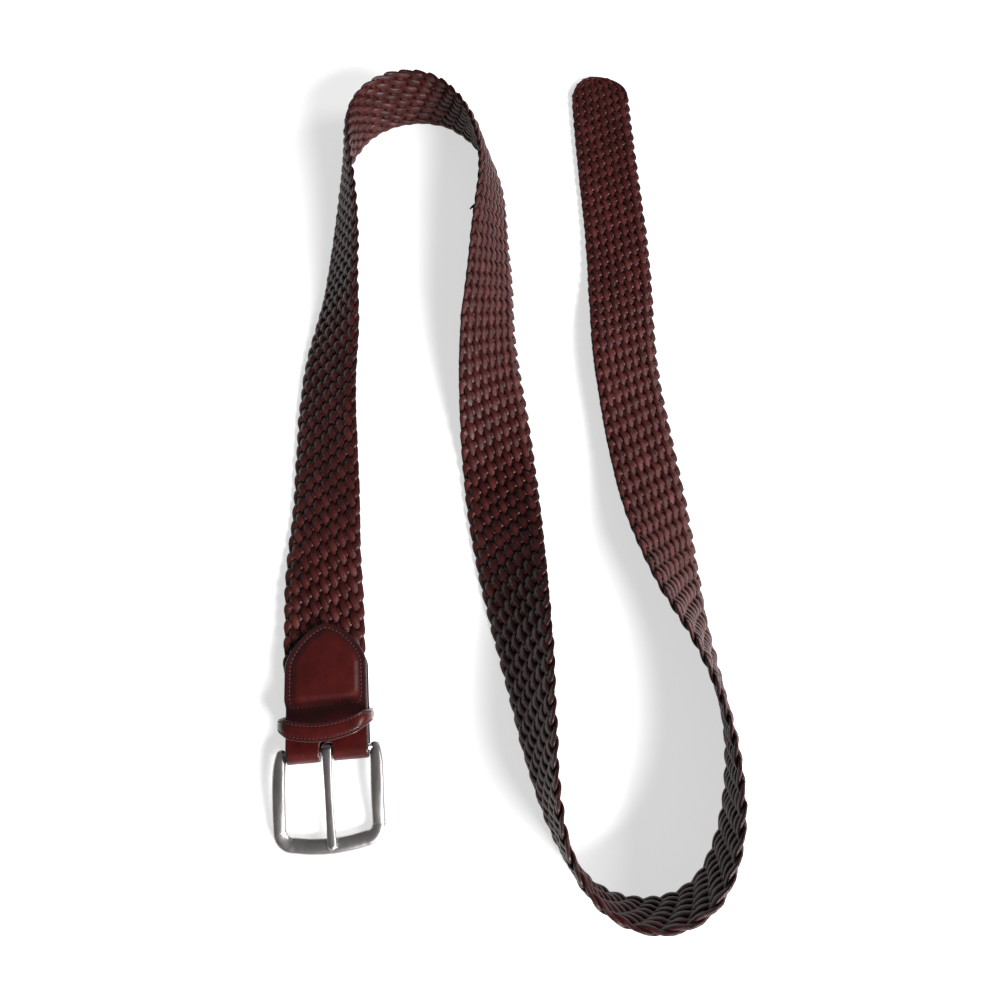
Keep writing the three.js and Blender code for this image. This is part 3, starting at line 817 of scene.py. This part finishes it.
def frame_rows():
    neck = FRAME_MOUTH / 2 + ARM_NECK / 2
    corner = FRAME_REACH - FRAME_CORNER
    rows = [
        (neck - 0.35, FRAME_HEEL * 0.35, ARM_NECK * 0.86, ARM_THICK * 1.05),
        (neck - 0.05, -BAR_RADIUS, ARM_NECK * 1.02, ARM_THICK * 1.15),
        (neck + 0.15, -corner * 0.2, ARM_WIDTH * 0.98, ARM_THICK * 1.05),
        (ARM_MIDDLE + 0.1, -corner * 0.45, ARM_WIDTH * 1.02, ARM_THICK),
        (ARM_MIDDLE, -corner * 0.75, ARM_WIDTH * 1.02, ARM_THICK),
    ]
    for angle in (0, 18, 36, 54, 72, 90):
        a, share = math.radians(angle), angle / 90
        rows.append((
            ARM_MIDDLE - FRAME_CORNER * (1 - math.cos(a)), -corner - FRAME_CORNER * math.sin(a),
            ARM_WIDTH + (END_WIDTH - ARM_WIDTH) * share, ARM_THICK + (END_THICK - ARM_THICK) * share,
        ))
    flat = ARM_MIDDLE - FRAME_CORNER
    for share in (0.55, 0):
        rows.append((flat * share, -FRAME_REACH - END_BOW * (1 - share**2), END_WIDTH, END_THICK))
    return rows


def frame_piece():
    half = frame_rows()
    mirrored = [(-v, s, width, thick) for v, s, width, thick in half[:-1][::-1]]
    rows = smooth_rows(half + mirrored, 6)
    ends = 9
    caps = []
    for share in np.sin(np.radians(np.linspace(88, 10, ends))):
        caps.append(share)
    start = [(rows[0][0], rows[0][1] + (FRAME_HEEL * 0.6 + 0.1) * share,
              rows[0][2] * math.sqrt(1 - share**2 * 0.998),
              rows[0][3] * math.sqrt(1 - share**2 * 0.998)) for share in caps]
    end = [(-v, s, width, thick) for v, s, width, thick in start[::-1]]
    rows = np.concatenate([start, rows, end])
    u, w = rounded(36, 2.3)
    sections = []
    for i, (v, s, width, thick) in enumerate(rows):
        before, after = rows[max(i - 1, 0)], rows[min(i + 1, len(rows) - 1)]
        side = np.array([before[1] - after[1], after[0] - before[0]])
        side = side / np.linalg.norm(side)
        z = np.maximum(frame_height(s) + w * thick / 2, 0.04)
        sections.append(place(v + FRAME_SHIFT + side[0] * u * width / 2, s + side[1] * u * width / 2, z))
    return capped_tube("frame_metal", sections)


def bar_piece():
    angle = np.linspace(0, 2 * np.pi, 40, endpoint=False)
    reach = (FRAME_MOUTH + ARM_NECK) / 2
    sections = [place(np.full(40, FRAME_SHIFT + v), np.cos(angle) * BAR_RADIUS,
                      BAR_HEIGHT + np.sin(angle) * BAR_RADIUS)
                for v in np.linspace(-reach, reach, 5)]
    return capped_tube("frame_bar", sections)


buckle_metal = frame_piece()
buckle_bar = bar_piece()


# Prong: share of the length, rise between the end bar's top and the ring's wall, shares of the ring's width and of the
# thickness

PRONG_ROWS = [
    (0.0, 1.0, 0.95, 0.9), (0.08, 0.98, 1.05, 1.0), (0.22, 0.86, 0.98, 1.0), (0.45, 0.6, 0.9, 1.0),
    (0.7, 0.28, 0.93, 1.0), (0.88, 0.04, 1.0, 1.0), (0.95, 0.0, 0.97, 0.98),
]


def prong_shank():
    inside = BAR_RADIUS + PRONG_RUNNING
    root = BAR_HEIGHT + inside + PRONG_WALL / 2
    tip = END_THICK + GAP + PRONG_THICK / 2
    length = FRAME_REACH + PRONG_PAST
    rows = smooth_rows(PRONG_ROWS, 8)
    last = rows[-1]
    caps = [(last[0] + (1 - last[0]) * math.sin(a), last[1], last[2] * max(math.cos(a), 0.05),
             last[3] * max(math.cos(a) ** 0.7, 0.05))
            for a in np.radians(np.linspace(12, 89, 9))]
    first = rows[0]
    head = [(first[0] - 0.03 * math.sin(a), first[1], first[2] * math.cos(a),
             first[3] * max(math.cos(a), 0.05))
            for a in np.radians(np.linspace(85, 15, 6))]
    rows = np.concatenate([head, rows, caps])
    u, w = rounded(28, 2.4)
    sections = []
    for share, rise, width, thick in rows:
        v = FRAME_SHIFT + PRONG_DRIFT * max(share, 0) ** 1.5
        z = tip + (root - tip) * rise
        sections.append(place(v + u * PRONG_RING * width / 2, np.full_like(u, -share * length),
                              z + w * PRONG_THICK * thick / 2))
    return capped_tube("prong_shank", sections)


def prong_loop():
    inside = BAR_RADIUS + PRONG_RUNNING
    turns = 40
    u, w = rounded(20, 3.2)
    sections = []
    for a in np.linspace(0, 2 * np.pi, turns, endpoint=False):
        reach = inside + PRONG_WALL / 2 + w * PRONG_WALL / 2
        sections.append(place(FRAME_SHIFT + u * PRONG_RING / 2, reach * math.cos(a),
                              BAR_HEIGHT + reach * math.sin(a)))
    sections = np.array(sections)
    return recalculated(make_mesh("prong_ring", sections.reshape(-1, 3), ring_quads(turns, 20, looped=True)))


prong_piece = prong_shank()
prong_ring_piece = prong_loop()


# Materials


def new_material(name):
    material = bpy.data.materials.new(name)
    material.use_nodes = True
    nodes = material.node_tree.nodes
    nodes.clear()
    output = nodes.new("ShaderNodeOutputMaterial")
    shader = nodes.new("ShaderNodeBsdfPrincipled")
    material.node_tree.links.new(shader.outputs[0], output.inputs[0])
    return material, nodes, material.node_tree.links, shader


def noise(nodes, links, scale, detail=3.0, rough=0.55, vector=None, stretch=None):
    node = nodes.new("ShaderNodeTexNoise")
    node.inputs["Scale"].default_value = scale
    node.inputs["Detail"].default_value = detail
    node.inputs["Roughness"].default_value = rough
    source = vector
    if source is None:
        source = nodes.new("ShaderNodeTexCoord").outputs["Object"]
    if stretch is not None:
        mapping = nodes.new("ShaderNodeMapping")
        mapping.inputs["Scale"].default_value = stretch
        links.new(source, mapping.inputs["Vector"])
        source = mapping.outputs[0]
    links.new(source, node.inputs["Vector"])
    return node.outputs["Fac"]


def ramp(nodes, links, fac, stops):
    node = nodes.new("ShaderNodeValToRGB")
    elements = node.color_ramp.elements
    while len(elements) < len(stops):
        elements.new(0.5)
    for element, (at, colour) in zip(elements, stops):
        element.position = at
        element.color = (*colour, 1)
    links.new(fac, node.inputs["Fac"])
    return node.outputs["Color"]


def math_node(nodes, links, operation, a, b):
    node = nodes.new("ShaderNodeMath")
    node.operation = operation
    for socket, value in zip(node.inputs, (a, b)):
        if isinstance(value, (int, float)):
            socket.default_value = value
        else:
            links.new(value, socket)
    return node.outputs[0]


def mix_colour(nodes, links, fac, a, b, kind="MIX"):
    node = nodes.new("ShaderNodeMix")
    node.data_type = "RGBA"
    node.blend_type = kind
    for key, value in (("Factor", fac), ("A", a), ("B", b)):
        wanted = "VALUE" if key == "Factor" else "RGBA"
        socket = [s for s in node.inputs if s.name == key and s.type == wanted][0]
        if isinstance(value, (int, float)):
            socket.default_value = value
        elif isinstance(value, tuple):
            socket.default_value = (*value, 1)
        else:
            links.new(value, socket)
    return [o for o in node.outputs if o.type == "RGBA"][0]


def bump(nodes, links, height, strength, distance, normal=None):
    node = nodes.new("ShaderNodeBump")
    node.inputs["Strength"].default_value = strength
    node.inputs["Distance"].default_value = distance
    links.new(height, node.inputs["Height"])
    if normal is not None:
        links.new(normal, node.inputs["Normal"])
    return node.outputs["Normal"]


def attribute(nodes, name):
    node = nodes.new("ShaderNodeAttribute")
    node.attribute_name = name
    return node.outputs["Fac"]


def braid_leather():
    material, nodes, links, shader = new_material("braid_leather")
    tint = attribute(nodes, "tint")
    mottle = noise(nodes, links, 420, 4)
    mixed = math_node(nodes, links, "ADD", math_node(nodes, links, "MULTIPLY", tint, 0.7),
                      math_node(nodes, links, "MULTIPLY", mottle, 0.35))
    face = ramp(nodes, links, mixed, [
        (0.2, (0.018, 0.0026, 0.0023)), (0.5, (0.034, 0.0052, 0.0046)), (0.85, (0.062, 0.012, 0.0105))])
    # The laces' sides darken to near black: partly their own darker edges, partly painted shade in the gaps between
    # laces.
    edge_tone_and_gap_shade = math_node(nodes, links, "POWER", attribute(nodes, "edge_tone_and_gap_shade"), 3.0)
    colour = mix_colour(nodes, links, math_node(nodes, links, "MULTIPLY", edge_tone_and_gap_shade, 0.85), face, (0.008, 0.0015, 0.0015))
    links.new(colour, shader.inputs["Base Color"])
    rough = noise(nodes, links, 900, 3)
    links.new(
        math_node(nodes, links, "ADD", math_node(nodes, links, "MULTIPLY", rough, 0.24), 0.25),
        shader.inputs["Roughness"])
    shader.inputs["Specular IOR Level"].default_value = 0.24
    uv = nodes.new("ShaderNodeUVMap")
    uv.uv_map = "lay"
    fold = noise(nodes, links, 1.0, 3, 0.6, vector=uv.outputs[0], stretch=(2.2, 14.0, 1.0))
    grain = noise(nodes, links, 2600, 3, 0.6)
    normal = bump(nodes, links, fold, 0.8, 0.0004)
    links.new(bump(nodes, links, grain, 0.3, 0.00012, normal), shader.inputs["Normal"])
    return material


def smooth_leather():
    material, nodes, links, shader = new_material("smooth_leather")
    edge = attribute(nodes, "tint")
    mottle = noise(nodes, links, 130, 4)
    face = ramp(nodes, links, mottle, [
        (0.3, (0.026, 0.0020, 0.0018)), (0.52, (0.036, 0.0028, 0.0024)), (0.72, (0.048, 0.0042, 0.0035))])
    colour = mix_colour(nodes, links, edge, face, (0.014, 0.0030, 0.0038))
    links.new(colour, shader.inputs["Base Color"])
    rough = noise(nodes, links, 300, 3)
    links.new(
        math_node(nodes, links, "ADD", math_node(nodes, links, "MULTIPLY", rough, 0.16), 0.26),
        shader.inputs["Roughness"])
    shader.inputs["Specular IOR Level"].default_value = 0.3
    shader.inputs["Coat Weight"].default_value = 0.08
    shader.inputs["Coat Roughness"].default_value = 0.16
    grain = noise(nodes, links, 2200, 4, 0.62)
    soft = noise(nodes, links, 160, 2)
    normal = bump(nodes, links, soft, 0.12, 0.0008)
    links.new(bump(nodes, links, grain, 0.16, 0.00012, normal), shader.inputs["Normal"])
    return material


def thread():
    material, nodes, links, shader = new_material("thread")
    twist = noise(nodes, links, 2400, 2)
    colour = ramp(nodes, links, twist, [(0.3, (0.022, 0.0055, 0.006)), (0.7, (0.06, 0.017, 0.018))])
    links.new(colour, shader.inputs["Base Color"])
    shader.inputs["Roughness"].default_value = 0.6
    shader.inputs["Specular IOR Level"].default_value = 0.25
    links.new(bump(nodes, links, twist, 0.4, 0.0001), shader.inputs["Normal"])
    return material


def brushed_nickel():
    material, nodes, links, shader = new_material("brushed_nickel")
    shader.inputs["Metallic"].default_value = 1.0
    cloud = noise(nodes, links, 160, 3)
    colour = ramp(nodes, links, cloud, [(0.3, (0.40, 0.375, 0.375)), (0.7, (0.5, 0.475, 0.47))])
    links.new(colour, shader.inputs["Base Color"])
    brush = noise(nodes, links, 900, 4, 0.7, stretch=(1.0, 0.16, 1.0))
    links.new(
        math_node(nodes, links, "ADD", math_node(nodes, links, "MULTIPLY", brush, 0.2), 0.24),
        shader.inputs["Roughness"])
    links.new(bump(nodes, links, brush, 0.12, 0.00008), shader.inputs["Normal"])
    return material


braid_material = braid_leather()
leather_material = smooth_leather()
thread_material = thread()
nickel_material = brushed_nickel()

for piece in laces:
    piece.data.materials.append(braid_material)
    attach(piece, "strap")
    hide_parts("braided_band")
for piece, node in ((tab_piece, "buckle_tab"), (keeper_piece, "keeper")):
    piece.data.materials.clear()
    piece.data.materials.append(leather_material)
    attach(piece, "strap")
    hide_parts(node)
for piece in (tab_thread, keeper_thread):
    piece.data.materials.append(thread_material)
    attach(piece, "strap")
for piece, body, node in (
    (buckle_metal, "frame", "buckle_frame"), (buckle_bar, "frame", "buckle_frame"),
    (prong_piece, "prong", "prong"), (prong_ring_piece, "prong", "prong"),
):
    piece.data.materials.append(nickel_material)
    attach(piece, body)
    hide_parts(node)


# Floor, light and camera


def floor():
    mesh = bpy.data.meshes.new("floor")
    mesh.from_pydata([(-4, -4, 0), (4, -4, 0), (4, 4, 0), (-4, 4, 0)], [], [(0, 1, 2, 3)])
    obj = bpy.data.objects.new("floor", mesh)
    bpy.context.scene.collection.objects.link(obj)
    material, nodes, links, shader = new_material("floor")
    shader.inputs["Base Color"].default_value = (0.6, 0.6, 0.6, 1)
    shader.inputs["Emission Color"].default_value = (1, 1, 1, 1)
    shader.inputs["Emission Strength"].default_value = 0.6
    shader.inputs["Roughness"].default_value = 0.9
    shader.inputs["Specular IOR Level"].default_value = 0.1
    obj.data.materials.append(material)
    return obj


def area_light(name, spot, target, size, energy, colour=(1, 1, 1), shape="RECTANGLE", size_y=None):
    data = bpy.data.lights.new(name, "AREA")
    data.shape = shape
    data.size = size
    if shape == "RECTANGLE":
        data.size_y = size_y or size
    data.energy = energy
    data.color = colour
    obj = bpy.data.objects.new(name, data)
    obj.location = spot
    obj.rotation_euler = (Vector(target) - Vector(spot)).to_track_quat("-Z", "Y").to_euler()
    bpy.context.scene.collection.objects.link(obj)
    return obj


floor()
world = bpy.data.worlds.new("studio")
world.use_nodes = True
world.node_tree.nodes["Background"].inputs[0].default_value = (1, 1, 1, 1)
world.node_tree.nodes["Background"].inputs[1].default_value = 0.15
bpy.context.scene.world = world
area_light("key", (0.76, -0.95, 0.70), (0.0, 0.0, 0.0), 0.6, 52, size_y=0.3)
area_light("window", (1.15, 0.1, 0.85), (0.0, 0.0, 0.0), 0.5, 10, size_y=0.3)
bpy.context.scene.view_settings.view_transform = "Standard"

CAMERA_PIXELS = 866.0
CAMERA_TILT = 27.3
CAMERA_SPOT = (65.7, -65.95, 342.0)
camera_data = bpy.data.cameras.new("camera")
camera_data.sensor_width = 36
camera_data.lens = CAMERA_PIXELS / 1000 * 36
camera_data.clip_start = 0.01
camera = bpy.data.objects.new("camera", camera_data)
camera.location = ((BAR[0] + CAMERA_SPOT[0]) * MM, (BAR[1] + CAMERA_SPOT[1]) * MM, CAMERA_SPOT[2] * MM)
camera.rotation_euler = (math.radians(CAMERA_TILT), 0, 0)
bpy.context.scene.collection.objects.link(camera)
bpy.context.scene.camera = camera
